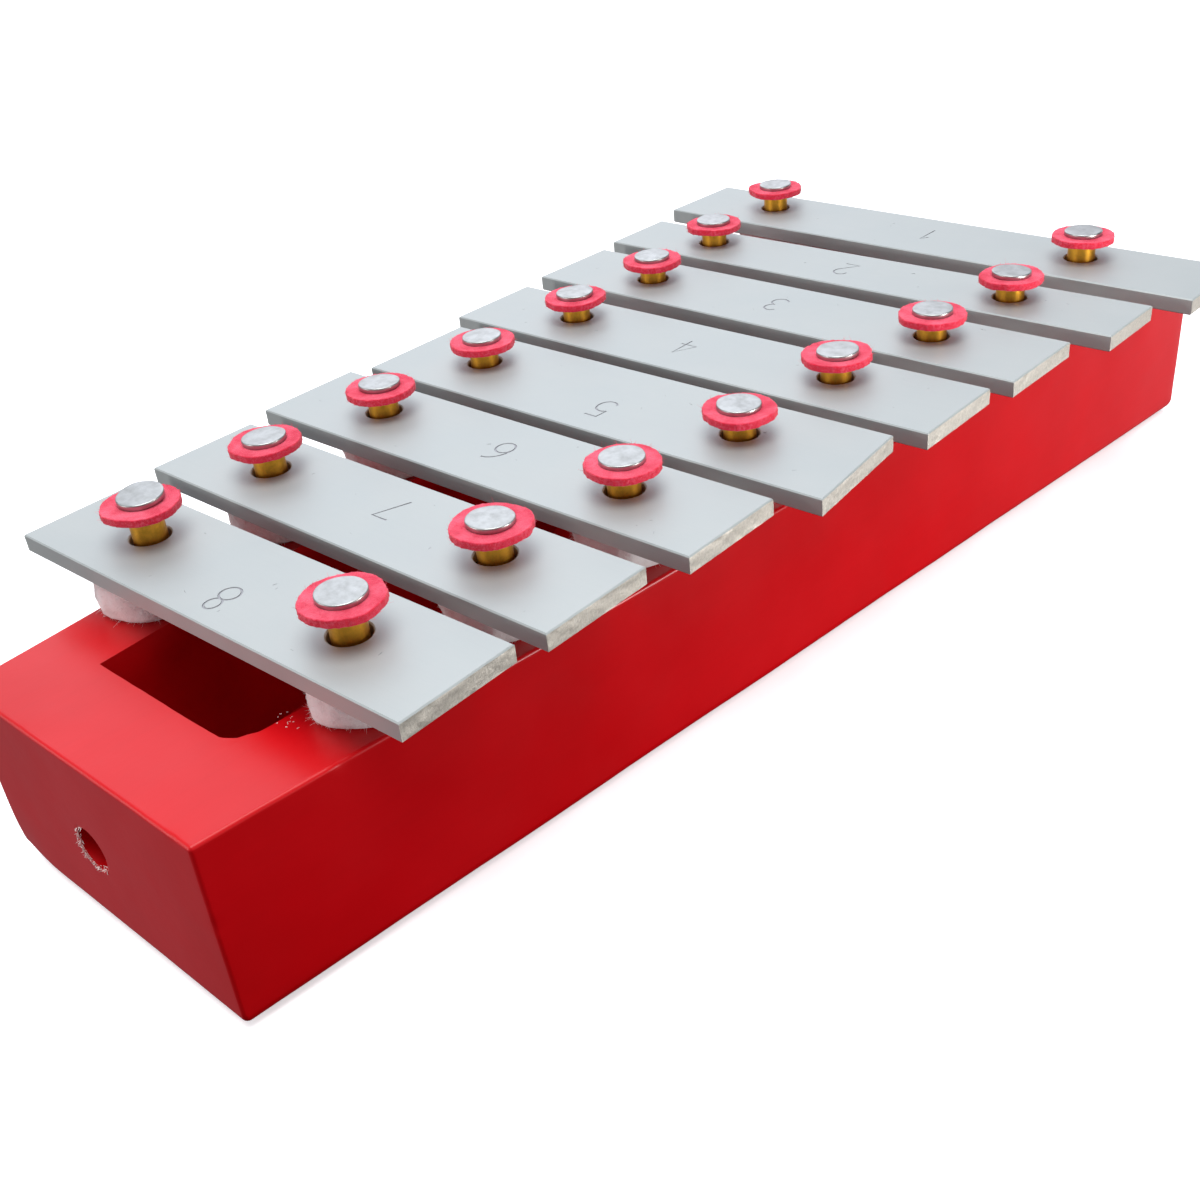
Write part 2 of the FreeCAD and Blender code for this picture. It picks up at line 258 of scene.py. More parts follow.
def make_groove_shade_and_dirt():
    """Dark grey metal: painted shade at the bottom of a stamped mark's groove, and the colour of the specks
    of dirt and lint on the bars.
    """
    stamped = Shader("bar_aluminium_groove_shade_and_dirt", Metallic=0.9)
    stamped.colour(stamped.mix(stamped.noise(0.6), (0.28, 0.29, 0.30), (0.40, 0.41, 0.42)))
    stamped.roughness(stamped.steps(stamped.noise(0.4), 0.3, 0.7, 0.45, 0.6))
    return stamped.material


def make_nail():
    """Bright aluminium nails with hammer marks, scuffs and dull spots."""
    bright = Shader("nail_aluminium_bright", Metallic=1.0)
    cloud = bright.noise(1.6, 5.0, 0.65)
    tone = bright.mix(bright.steps(cloud, 0.4, 0.68), (0.420, 0.440, 0.425), (0.345, 0.36, 0.345))
    pits = bright.steps(bright.noise(0.5, 6.0, 0.7), 0.66, 0.76, 0.0, 0.25)
    bright.colour(bright.mix(pits, tone, (0.36, 0.36, 0.37)))
    bright.roughness(bright.steps(cloud, 0.3, 0.7, 0.26, 0.44))
    bright.relief((bright.noise(1.6, 2.0), 0.012), (bright.noise(0.3, 5.0), 0.003))
    return bright.material


def make_brass():
    """Tarnished brass tube, with drawn lines up its length and darker patches."""
    brass = Shader("tube_brass_tarnished", Metallic=1.0)
    cloud = brass.noise(1.8, 5.0, 0.65)
    tone = brass.mix(brass.steps(cloud, 0.35, 0.65), (0.84, 0.40, 0.045), (0.58, 0.28, 0.03))
    lines = brass.noise(0.25, 4.0, 0.6, stretch=(1, 1, 0.06))
    brass.colour(brass.mix(brass.steps(lines, 0.55, 0.8, 0.0, 0.3), tone, (0.34, 0.17, 0.015)))
    brass.roughness(brass.steps(cloud, 0.3, 0.7, 0.3, 0.46))
    brass.relief((lines, 0.012))
    return brass.material


def make_felt(name, light, dark, flecks, cut_edge_and_shade):
    """Pressed wool: mottled, with matted fibre relief and a soft sheen. Where a vertex attribute marks it,
    the cut wall and underside take a darker colour: partly the cut edge's own colour, partly painted shade.
    """
    felt = Shader(
        name, Roughness=0.95, Sheen_Weight=0.24, Sheen_Roughness=0.45, Specular_IOR_Level=0.2)
    matted = felt.noise(0.42, 7.0, 0.72)
    cloud = felt.noise(3.2, 4.0)
    tone = felt.mix(felt.steps(cloud, 0.35, 0.65), light, dark)
    tone = felt.mix(felt.steps(matted, 0.5, 0.8, 0.0, 0.5), tone, dark)
    patches = felt.steps(felt.noise(0.5, 5.0, 0.65), 0.4, 0.6, 0.35, 1.25)
    # Painted shade: the marked wall and underside are darkened towards the cut-edge colour, partly its own
    # colour and partly shade.
    tone = felt.mix(felt.math("MULTIPLY", felt.attribute("cut_edge_and_shade"), patches), tone, cut_edge_and_shade)
    felt.colour(felt.mix(felt.steps(felt.noise(0.16, 5.0), 0.64, 0.74, 0.0, 0.6), tone, flecks))
    felt.relief((matted, 0.2), (felt.noise(0.13, 4.0), 0.05))
    return felt.material


def make_floor_material():
    """Plain pale paper that glows a little, so that it shows as white."""
    pale = Shader("studio_floor_pale", Roughness=0.9, Specular_IOR_Level=0.1)
    pale.colour(pale.mix(pale.noise(60), (0.93, 0.93, 0.93), (0.95, 0.95, 0.95)))
    pale.surface.inputs["Emission Color"].default_value = (1, 1, 1, 1)
    pale.surface.inputs["Emission Strength"].default_value = 0.5
    return pale.material


PAINT = make_paint()
BARE_WOOD = make_bare_wood()
SATIN = make_satin()
SAWN = make_sawn()
# Dark grey for the stamped grooves, which is painted shade, and for the dirt specks, which is their own
# colour.
GROOVE_SHADE_AND_DIRT = make_groove_shade_and_dirt()
BRIGHT = make_nail()
BRASS = make_brass()
# The red felt's darker crimson for its cut wall and underside is partly painted shade.
RED_FELT = make_felt(
    "red_felt_wool",
    light=(0.90, 0.12, 0.19),
    dark=(0.70, 0.035, 0.08),
    flecks=(0.97, 0.33, 0.39),
    cut_edge_and_shade=(0.74, 0.02, 0.05),
)
WHITE_FELT = make_felt(
    "white_felt_wool",
    light=(0.93, 0.91, 0.90),
    dark=(0.83, 0.79, 0.77),
    flecks=(0.98, 0.97, 0.96),
    cut_edge_and_shade=(0.90, 0.86, 0.84),
)


# ---------------------------------------------------------------- meshes cut finer from the CAD nodes

def cut_across(bm, axis, places):
    """Cut a mesh by planes square to one axis, so its flat faces can be shaped."""
    square = Vector([1.0 if axis == k else 0.0 for k in range(3)])
    for place in places:
        whole = bm.verts[:] + bm.edges[:] + bm.faces[:]
        bmesh.ops.bisect_plane(bm, geom=whole, plane_co=square * place, plane_no=square, dist=1e-7)


def spread(low, high, step):
    """Places between two limits, about one step apart."""
    count = max(1, round((high - low) / step))
    return [low + (high - low) * k / count for k in range(1, count)]


def fine_copy(node, spacings):
    """A copy of a CAD node's mesh, cut into a grid at lists of places along X, Y and Z."""
    bm = bmesh.new()
    bm.from_mesh(nodes[node].data)
    for layer in (bm.loops.layers.float_vector, bm.loops.layers.uv):
        for item in list(layer.values()):
            layer.remove(item)
    bmesh.ops.remove_doubles(bm, verts=bm.verts[:], dist=2e-6)
    bmesh.ops.dissolve_limit(bm, angle_limit=math.radians(0.6), verts=bm.verts[:], edges=bm.edges[:])
    for axis, places in enumerate(spacings):
        cut_across(bm, axis, places)
    return bm


def add_hair(bm, root, direction, length, width, bend, material=0):
    """One fibre or splinter: a thin tapering three-sided spike that bends as it goes."""
    side = direction.orthogonal().normalized()
    other = direction.cross(side)
    rings = []
    for part, narrow in ((0.0, 1.0), (0.55, 0.8), (1.0, 0.35)):
        middle = root + direction * length * part + bend * length * part * part
        ring = []
        for k in range(3):
            angle = math.tau * k / 3
            out = side * math.cos(angle) + other * math.sin(angle)
            ring.append(bm.verts.new(middle + out * width * narrow))
        rings.append(ring)
    faces = []
    for lower, upper in zip(rings, rings[1:]):
        for k in range(3):
            after = (k + 1) % 3
            faces.append(bm.faces.new((lower[k], lower[after], upper[after], upper[k])))
    faces.append(bm.faces.new(rings[0][::-1]))
    faces.append(bm.faces.new(rings[-1]))
    for face in faces:
        face.material_index = material


# ---------------------------------------------------------------- the painted box

block_low, block_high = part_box("high_end_block")
NEAR_END = block_low.y
BOX_TOP = block_high.z

# The boards' grid: its steps along the box near the high end and beyond it, across the box, and upwards.
FINE_END = NEAR_END + 24 * MM
FINE_STEP, COARSE_STEP = 0.8 * MM, 3 * MM
ACROSS_STEP, LEVEL_STEP = 1.2 * MM, 1.1 * MM

# Nicks in the box's edges: where each one is, and its width and depth in millimetres. All point inwards.
INSIDE_BOX = from_mm(0, -100, 12)
NICKS = (
    (from_mm(25.2, -118.25, 31.4), 1.2, 0.3),
    (from_mm(28.9, -118.25, 18.5), 1.2, 0.25),
    (from_mm(31.2, -97.0, 31.4), 1.4, 0.3),
    (from_mm(-12.0, -118.25, 31.4), 0.9, 0.2),
)
ROUNDED_CORNER, ROUNDED_REACH = from_mm(-28.7, -118.25, 0), 11 * MM

# The hole in the end, and how far the wear on its rim goes: outwards, inwards along it, and each side of it.
HOLE_MIDDLE = from_mm(-1.8, -118.25, 15)
HOLE_RADIUS = 3.5 * MM
HOLE_WORN_SIDE = Vector((-0.75, 0, -0.66))
HOLE_REACH = HOLE_RADIUS * 1.5
HOLE_STEP = 0.25 * MM
WORN_DEPTH = 0.15 * MM
WORN_WIDTH = 0.42 * MM

# The lip of the opening: its near side, its rounded corner and its right side.
LIP_Y = -103.15 * MM
LIP_CORNER, LIP_CORNER_RADIUS = from_mm(11.9, -98.65, 31.4), 4.5 * MM
LIP_CORNER_START = 12 * MM
LIP_RIGHT = 16 * MM
LIP_WIDTH, LIP_DEPTH = 0.9 * MM, 2.5 * MM

SPLINTERS = 150
CHIPS = 12


def surface_wander(point):
    """How far a hand-sanded, hand-painted surface wanders from the flat."""
    broad = noise.noise_vector(point * 38) * 0.10 * MM
    small = noise.noise_vector(point * 170) * 0.035 * MM
    return broad + small


def board_shape(point):
    """Where a point of the ideal box really lies, and how worn the paint is there."""
    moved = point + surface_wander(point)
    for place, width, depth in NICKS:
        near = 1 - (point - place).length / (width * MM)
        if near > 0:
            inwards = (INSIDE_BOX - place).normalized()
            moved += inwards * depth * MM * near
    wear = hole_wear(point)
    moved.y += wear * 0.3 * MM
    return moved + lip_ripple(point) + corner_lift(point), wear


def lip_ripple(point):
    """The paint's thick, uneven lip along the near side and the right corner of the opening."""
    if point.x < LIP_CORNER_START:
        from_lip = abs(point.y - LIP_Y)
    else:
        from_corner = abs((point - LIP_CORNER).length - LIP_CORNER_RADIUS)
        from_lip = min(from_corner, abs(point.x - LIP_RIGHT))
    near = max(0.0, 1 - from_lip / LIP_WIDTH) * max(0.0, 1 - (BOX_TOP - point.z) / LIP_DEPTH)
    beyond = abs(point.x) > 18 * MM or not LIP_Y - 1 * MM < point.y < LIP_Y + 9 * MM
    if near == 0 or beyond:
        return Vector((0, 0, 0))
    strength = 0.05 if point.x < 11.5 * MM else 0.5
    ripple = noise.noise_vector(point * 420) * strength
    return Vector((ripple.x, ripple.y, abs(ripple.z) * 0.3)) * near * MM


def corner_lift(point):
    """The box's lower left corner at the high end is sanded rounder than the others."""
    near = max(0.0, 1 - (point - ROUNDED_CORNER).length / ROUNDED_REACH)
    return Vector((0.8, 0.5, 1.3)) * near ** 2 * MM


def hole_wear(point):
    """How worn the paint is round the hole in the end, where a stick rubs its rim."""
    out = Vector((point.x - HOLE_MIDDLE.x, 0, point.z - HOLE_MIDDLE.z))
    depth = point.y - HOLE_MIDDLE.y
    if depth > WORN_DEPTH or out.length > HOLE_REACH:
        return 0.0
    facing = max(0.0, out.normalized().dot(HOLE_WORN_SIDE) + 0.35)
    rim = max(0.0, 1 - abs(out.length - HOLE_RADIUS) / WORN_WIDTH)
    patchy = 0.75 + 0.7 * noise.noise(point * 900)
    return min(1.0, facing * rim * 1.5 * patchy)


def add_splinters(bm, chance):
    """Torn fibres and flakes of paint on the worn side of the hole's rim."""
    for _ in range(SPLINTERS):
        lean = chance.gauss(0, 0.8)
        worn = math.atan2(HOLE_WORN_SIDE.z, HOLE_WORN_SIDE.x) + lean
        out = Vector((math.cos(worn), 0, math.sin(worn)))
        root = HOLE_MIDDLE + out * HOLE_RADIUS * chance.uniform(0.96, 1.10)
        root.y += chance.uniform(0.0, 0.5) * MM if chance.random() < 0.5 else 0.02 * MM
        direction = Vector((chance.gauss(0, 0.6), chance.uniform(-1.0, -0.1), chance.gauss(0, 0.6)))
        direction = (direction - out * chance.uniform(-0.2, 1.0)).normalized()
        bend = Vector([chance.gauss(0, 0.4) for _ in range(3)])
        length, width = chance.uniform(0.15, 0.5) * MM, chance.uniform(0.04, 0.11) * MM
        add_hair(bm, root, direction, length, width, bend, material=1)


def add_chips(bm, chance):
    """Specks of bare wood where the thick paint by the opening's worn corner has chipped."""
    for _ in range(CHIPS):
        root = from_mm(chance.gauss(17, 1.3), chance.gauss(-95.4, 0.8), 31.4)
        angle = chance.uniform(0, math.tau)
        direction = Vector((math.cos(angle), math.sin(angle), 0.1)).normalized()
        length, width = chance.uniform(0.12, 0.4) * MM, chance.uniform(0.04, 0.09) * MM
        add_hair(bm, root, direction, length, width, Vector((0, 0, 0)), material=1)


def make_board(node):
    """One board of the box, with its paint and wear. The end block also has the worn hole and chips."""
    low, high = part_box(node)
    along = []
    if low.y < FINE_END:
        along += spread(low.y, min(FINE_END, high.y), FINE_STEP)
    if low.y < FINE_END < high.y:
        along.append(FINE_END)
    if high.y > FINE_END:
        along += spread(max(low.y, FINE_END), high.y, COARSE_STEP)
    across = spread(low.x, high.x, ACROSS_STEP)
    levels = spread(low.z, high.z, LEVEL_STEP)
    if node == "high_end_block":
        across += spread(HOLE_MIDDLE.x - HOLE_REACH, HOLE_MIDDLE.x + HOLE_REACH, HOLE_STEP)
        levels += spread(HOLE_MIDDLE.z - HOLE_REACH, HOLE_MIDDLE.z + HOLE_REACH, HOLE_STEP)
        along += [NEAR_END + WORN_DEPTH, NEAR_END + 0.4 * MM]
    bm = fine_copy(node, (across, along, levels))
    wear_layer = bm.verts.layers.float.new("wear")
    for vertex in bm.verts:
        vertex.co, vertex[wear_layer] = board_shape(vertex.co.copy())
    if node == "high_end_block":
        add_splinters(bm, random.Random("splinters"))
        add_chips(bm, random.Random("chips"))
    board = finish_mesh(bm, f"{node}_painted", [PAINT, BARE_WOOD], 40)
    stand_in_for(board, BOX_BODY, "painted_wood", node)


for board_node in ("left_side_rail", "right_side_rail", "high_end_block", "low_end_block", "base_panel"):
    make_board(board_node)


# ---------------------------------------------------------------- sound bars

def arc(across, up, half_width, half_height, start, stop, count=16):
    """Points round part of an ellipse, between two angles in degrees."""
    angles = [math.radians(start + (stop - start) * k / count) for k in range(count + 1)]
    return [(across + half_width * math.cos(a), up + half_height * math.sin(a)) for a in angles]


SPECKS = 9

# The strokes of each stamped number, one unit high.
DIGITS = {
    "1": [[(0.12, 0.76), (0.32, 1), (0.32, 0)]],
    "2": [arc(0.27, 0.72, 0.25, 0.28, 165, -30) + [(0, 0), (0.54, 0)]],
    "3": [arc(0.26, 0.76, 0.23, 0.24, 150, -80) + arc(0.26, 0.27, 0.27, 0.27, 80, -150)],
    "4": [[(0.40, 0), (0.40, 1), (0, 0.3), (0.56, 0.3)]],
    "5": [[(0.5, 1), (0.08, 1), (0.05, 0.58)] + arc(0.25, 0.33, 0.28, 0.33, 125, -145)],
    "6": [arc(0.52, 0.3, 0.52, 0.7, 90, 180, 10) + arc(0.27, 0.29, 0.27, 0.29, 180, 539, 22)],
    "7": [[(0, 1), (0.54, 1), (0.16, 0)]],
    "8": [arc(0.27, 0.77, 0.20, 0.23, -90, 269, 20), arc(0.27, 0.27, 0.27, 0.27, 90, 449, 22)],
}
DIGIT_HEIGHT = 6 * MM
DIGIT_HALF_WIDTH = 0.27
PUNCH_RADIUS = 0.24 * MM
PUNCH_RAISED = 0.11 * MM

# Each bar's number, and its place in millimetres along and across the bar from the bar's middle.
MARKS = {
    "c7": ("8", 0.4, -4.2),
    "b6": ("7", 1.8, 2.2),
    "a6": ("6", 1.3, 0.2),
    "g6": ("5", 0.8, -3.8),
    "f6": ("4", -2.4, -0.6),
    "e6": ("3", -1.0, 0.4),
    "d6": ("2", -2.0, -0.3),
    "c6": ("1", 0.5, 0.6),
}


def stamp(bar, note):
    """Sink the bar's number into its top face, upright for a player at the low side."""
    digit, along_mm, across_mm = MARKS[note]
    middle, along, across = bar_axes(note)
    start = middle + along * (along_mm * MM + DIGIT_HALF_WIDTH * DIGIT_HEIGHT)
    start = start + across * (across_mm * MM + DIGIT_HEIGHT / 2)
    line = bpy.data.curves.new("punch", "CURVE")
    line.dimensions = "3D"
    line.bevel_depth = PUNCH_RADIUS
    line.bevel_resolution = 1
    line.use_fill_caps = True
    for stroke in DIGITS[digit]:
        spline = line.splines.new("POLY")
        spline.points.add(len(stroke) - 1)
        for point, (right, up) in zip(spline.points, stroke):
            place = start - along * right * DIGIT_HEIGHT - across * up * DIGIT_HEIGHT
            point.co = (place.x, place.y, middle.z + PUNCH_RAISED, 1)
    holder = bpy.data.objects.new("punch", line)
    bpy.context.scene.collection.objects.link(holder)
    bpy.context.view_layer.update()
    punch_mesh = bpy.data.meshes.new_from_object(holder.evaluated_get(bpy.context.evaluated_depsgraph_get()))
    bpy.data.objects.remove(holder)
    # The groove's faces get the dark grey material: painted shade at the bottom of the stamped mark.
    punch_mesh.materials.clear()
    punch_mesh.materials.append(GROOVE_SHADE_AND_DIRT)
    punch = bpy.data.objects.new("punch", punch_mesh)
    bpy.context.scene.collection.objects.link(punch)
    cut = bar.modifiers.new("Stamp", "BOOLEAN")
    cut.operation = "DIFFERENCE"
    cut.solver = "EXACT"
    cut.use_self = True
    cut.material_mode = "TRANSFER"
    cut.object = punch
    bpy.context.view_layer.update()
    stamped = bpy.data.meshes.new_from_object(bar.evaluated_get(bpy.context.evaluated_depsgraph_get()))
    bar.modifiers.clear()
    bar.data = stamped
    stamped.set_sharp_from_angle(angle=math.radians(18))
    bpy.data.objects.remove(punch)


def add_specks(bar, note):
    """A few crumbs of dirt and lint, lying on the bar's top face."""
    middle, along, across = bar_axes(note)
    half_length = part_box(f"bar_{note}")[1].x - middle.x - 5 * MM
    chance = random.Random(f"specks {note}")
    bm = bmesh.new()
    bm.from_mesh(bar.data)
    for _ in range(SPECKS):
        root = middle + along * chance.uniform(-1, 1) * half_length + across * chance.uniform(-8, 8) * MM
        angle = chance.uniform(0, math.tau)
        direction = Vector((math.cos(angle), math.sin(angle), 0))
        bend = direction.orthogonal() * chance.uniform(-0.4, 0.4)
        bend.z = 0
        length, width = chance.uniform(0.2, 0.8) * MM, chance.uniform(0.03, 0.07) * MM
        add_hair(bm, root, direction, length, width, bend, material=2)
    bm.to_mesh(bar.data)
    bm.free()


def bar_axes(note):
    """A bar's middle on its top face, and its directions along and across."""
    low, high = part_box(f"bar_{note}")
    points = [vertex.co for vertex in nodes[f"bar_{note}"].data.vertices]
    ends = []
    for end in ([p for p in points if p.x < low.x + 3 * MM], [p for p in points if p.x > high.x - 3 * MM]):
        ends.append(sum(end, Vector((0, 0, 0))) / len(end))
    along = ends[1] - ends[0]
    along.z = 0
    along.normalize()
    middle = (low + high) / 2
    middle.z = high.z
    return middle, along, Vector((-along.y, along.x, 0))


def make_bar(note):
    """One sound bar: satin faces, rough sawn ends and holes, its stamped number and a few specks."""
    node = f"bar_{note}"
    low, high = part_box(node)
    middle, along, across = bar_axes(note)
    ends = [(p.co - middle).dot(along) for p in nodes[node].data.vertices]
    left_end, right_end = min(ends), max(ends)
    spacings = (
        spread(low.x, high.x, 4 * MM),
        spread(low.y, high.y, 0.55 * MM),
        spread(low.z, high.z, 0.5 * MM),
    )
    bm = fine_copy(node, spacings)
    bm.normal_update()
    for face in bm.faces:
        facing_end = abs(face.normal.dot(along)) > 0.8
        offset = face.calc_center_median() - middle
        outer = offset.dot(along)
        at_end = facing_end and (outer < left_end + 3 * MM or outer > right_end - 3.5 * MM)
        upright, near_middle = abs(face.normal.z) < 0.3, abs(offset.dot(across)) < 5 * MM
        in_hole = upright and near_middle and abs(outer) < min(-left_end, right_end) - 4 * MM
        face.material_index = 1 if at_end or in_hole else 0
    for vertex in {v for face in bm.faces if face.material_index == 1 for v in face.verts}:
        coarse, fine = noise.noise(vertex.co * 420), noise.noise(vertex.co * 1500)
        sides = sum(1 for face in vertex.link_faces if face.material_index == 0)
        depth = 0.05 if sides else 0.13
        vertex.co += along * (coarse * 0.6 + fine) * depth * MM
    bar = finish_mesh(bm, f"{node}_satin", [SATIN, SAWN, GROOVE_SHADE_AND_DIRT], 35)
    stamp(bar, note)
    add_specks(bar, note)
    stand_in_for(bar, f"{note}_bar", "bar_aluminium", node)


for note in NOTES:
    make_bar(note)


# ---------------------------------------------------------------- pins: nails, tubes and felts

TUBE_BORE = 1.5 * MM
RED_FELT_BORE = 1.52 * MM
WHITE_FELT_BORE = 2.72 * MM
RED_FIBRES, WHITE_FIBRES = 220, 800


def turn(bm, profile, centre, segments, shape=None):
    """Turn a closed profile of (radius, height) points about an upright axis. shape moves each point."""
    rings = []
    for radius, height in profile:
        count = segments if radius > 0 else 1
        ring = []
        for k in range(count):
            angle = math.tau * k / count
            point = Vector((radius * math.cos(angle), radius * math.sin(angle), height))
            if shape:
                point = shape(point)
            ring.append(bm.verts.new(centre + point))
        rings.append(ring)
    closed = profile[0][0] > 0
    pairs = list(zip(rings, rings[1:])) + ([(rings[-1], rings[0])] if closed else [])
    for lower, upper in pairs:
        for k in range(segments):
            after = (k + 1) % segments
            corners = [lower[k % len(lower)], lower[after % len(lower)]]
            corners += [upper[after % len(upper)], upper[k % len(upper)]]
            unique = list(dict.fromkeys(corners))
            if len(unique) > 2:
                bm.faces.new(unique)
    return [vertex for ring in rings for vertex in ring]


def grow_hairs(bm, vertices, allowed, count, length_mm, chance, lowest):
    """Scatter fibres over the part of a felt's surface that allowed picks. None hangs below lowest."""
    bm.normal_update()
    roots = [(v.co.copy(), v.normal.copy()) for v in vertices if allowed(v)]
    for _ in range(count):
        root, normal = chance.choice(roots)
        stray = Vector([chance.gauss(0, 1) for _ in range(3)])
        direction = (normal + stray * 0.55).normalized()
        bend = Vector([chance.gauss(0, 0.5) for _ in range(3)])
        length = chance.uniform(0.35, 1.0) * length_mm * MM
        width = chance.uniform(0.012, 0.026) * MM
        base = root - normal * 0.05 * MM
        base.z = max(base.z, lowest + width)
        if base.z + (direction.z + bend.z) * length < lowest + width:
            direction.z, bend.z = abs(direction.z), abs(bend.z)
        add_hair(bm, base, direction, length, width, bend)


def rounded_ring(bore, outer, thickness, rim, steps):
    """The profile of a washer: underside outwards, rounded lower rim, wall, upper rim, top inwards."""
    profile = [(bore + (outer - rim - bore) * k / steps, 0.0) for k in range(steps + 1)]
    for k in range(1, 6):
        angle = math.pi / 2 * k / 6
        profile.append((outer - rim + rim * math.sin(angle), rim - rim * math.cos(angle)))
    for k in range(5):
        profile.append((outer, rim + (thickness - 2 * rim) * k / 4))
    for k in range(1, 6):
        angle = math.pi / 2 * k / 6
        profile.append((outer - rim + rim * math.cos(angle), thickness - rim + rim * math.sin(angle)))
    profile += [(outer - rim - (outer - rim - bore) * k / steps, thickness) for k in range(steps + 1)]
    return profile


def make_top_felts(note):
    """The two thin red washers under a bar's nail heads, with frayed, faintly lifted rims."""
    node = f"top_felts_{note}"
    chance = random.Random(f"red {note}")
    steps, segments = 13, 96
    bm = bmesh.new()
    cut = bm.verts.layers.float.new("cut_edge_and_shade")
    for low, high in solid_boxes(node):
        centre = foot(low, high)
        outer, thickness = (high.x - low.x) / 2, high.z - low.z
        seed = noise_place(chance)

        def shape(point, outer=outer, seed=seed):
            out = Vector((point.x, point.y, 0))
            far = out.length / outer
            angle_place = out.normalized() * 1.3 + seed
            nibbles = noise.noise(angle_place * 8) * 0.028 + noise.noise(angle_place * 26) * 0.02
            trim = 1 + (noise.noise(angle_place) * 0.05 + nibbles) * far ** 4
            lift = max(0.0, 0.02 + 0.3 * noise.noise(angle_place * 0.8 + Vector((9, 9, 9)))) * far ** 3
            fuzz = noise.noise_vector((point + seed * MM) * 2300) * 0.07 * MM * min(1, far * 1.3)
            place = Vector((point.x * trim, point.y * trim, point.z + lift * MM)) + fuzz
            place.z = max(place.z, 0.0)
            return place

        profile = rounded_ring(RED_FELT_BORE, outer - 0.05 * MM, thickness, 0.2 * MM, steps)
        made = turn(bm, profile, centre, segments, shape)
        # The darker cut-edge colour, partly the felt's own and partly painted shade, is full on the wall,
        # 0.7 on the underside, and fades out over the upper rim.
        upper_rim = steps + 12
        for index, vertex in enumerate(made):
            ring = index // segments
            vertex[cut] = 0.7 if ring < steps else max(0.0, 1 - max(0, ring - upper_rim) / 4)
        edge = outer * 0.9

        def on_rim(vertex, centre=centre, edge=edge, high=high):
            out = vertex.co - centre
            on_top = out.z > high.z - centre.z - 0.1 * MM and out.length > 4 * MM
            return math.hypot(out.x, out.y) > edge or on_top

        grow_hairs(bm, made, on_rim, RED_FIBRES, 0.6, chance, low.z)
    felts = finish_mesh(bm, f"{node}_wool", [RED_FELT], 60)
    stand_in_for(felts, BOX_BODY, "red_felt", node)


# Thick washers whose bores are off centre: how far each one's rim sits aside of its nail. In this and the
# next table 0 is a bar's left pin and 1 its right one.
FELTS_ASIDE = {
    ("c7", 0): from_mm(0, -1.8, 0),
    ("c7", 1): from_mm(0.9, 0.4, 0),
}


def make_base_felts(note):
    """The two thick white washers that a bar lies on: bulging, lumpy and hairy round their sides."""
    node = f"base_felts_{note}"
    chance = random.Random(f"white {note}")
    bm = bmesh.new()
    for side, (low, high) in enumerate(solid_boxes(node)):
        centre = foot(low, high)
        outer, thickness = (high.x - low.x) / 2, high.z - low.z
        seed = noise_place(chance)
        aside = FELTS_ASIDE.get((note, side), Vector((0, 0, 0)))

        def shape(point, outer=outer, thickness=thickness, seed=seed, aside=aside):
            out = Vector((point.x, point.y, 0))
            far = out.length / outer
            height = point.z / thickness
            bulge = math.sin(math.pi * min(1, max(0, height)))
            around = out.normalized() * 1.2 + seed + Vector((0, 0, height * 0.9))
            trim = 1 + (0.055 * bulge - 0.02 + noise.noise(around) * 0.11) * far ** 4
            keep = bulge ** 0.5
            lump = noise.noise_vector((point + seed * MM) * 480) * 0.34 * MM * keep * far ** 3
            fuzz = noise.noise_vector((point + seed * MM) * 1900) * 0.11 * MM * keep
            eccentric = aside * max(0.0, far - 0.34) / 0.66
            return Vector((point.x * trim, point.y * trim, point.z)) + eccentric + lump + fuzz

        profile = rounded_ring(WHITE_FELT_BORE, outer, thickness, rim=1.0 * MM, steps=8)
        made = turn(bm, profile, centre, segments=120, shape=shape)
        edge = outer * 0.86

        def on_side(vertex, centre=centre + aside, edge=edge, thickness=thickness):
            out = vertex.co - centre
            return math.hypot(out.x, out.y) > edge and 0.4 * MM < out.z < thickness - 0.5 * MM

        grow_hairs(bm, made, on_side, WHITE_FIBRES, 0.75, chance, low.z)
    felts = finish_mesh(bm, f"{node}_wool", [WHITE_FELT], 60)
    stand_in_for(felts, BOX_BODY, "white_felt", node)


def make_tubes(note):
    """The two brass tubes round a bar's nails, with softened ends and faint dents."""
    node = f"spacer_tubes_{note}"
    chance = random.Random(f"tube {note}")
    bore, burr = TUBE_BORE, 0.12 * MM
    bm = bmesh.new()
    for low, high in solid_boxes(node):
        outer, height = (high.x - low.x) / 2, high.z - low.z
        wall = [(outer, burr + (height - 2 * burr) * k / 12) for k in range(13)]
        profile = [(bore + burr, 0.0), (outer - burr, 0.0), *wall]
        profile += [(outer - burr, height), (bore + burr, height), (bore, height - burr), (bore, burr)]
        seed = noise_place(chance)

        def shape(point, seed=seed):
            dent = noise.noise_vector(point * 420 + seed) * 0.035 * MM
            return point + Vector((dent.x, dent.y, 0))

        turn(bm, profile, foot(low, high), segments=64, shape=shape)
    tubes = finish_mesh(bm, f"{node}_brass", [BRASS], 40)
    stand_in_for(tubes, BOX_BODY, "tube_brass", node)


# Nail heads that hammering left aside of their shanks, and how far each one leans.
BENT_HEADS = {
    ("c7", 0): (from_mm(-0.3, 0.4, 0.35), Vector((-0.05, 0.08))),
    ("f6", 1): (from_mm(0.5, -0.3, 0.05), Vector((0.03, 0.02))),
}


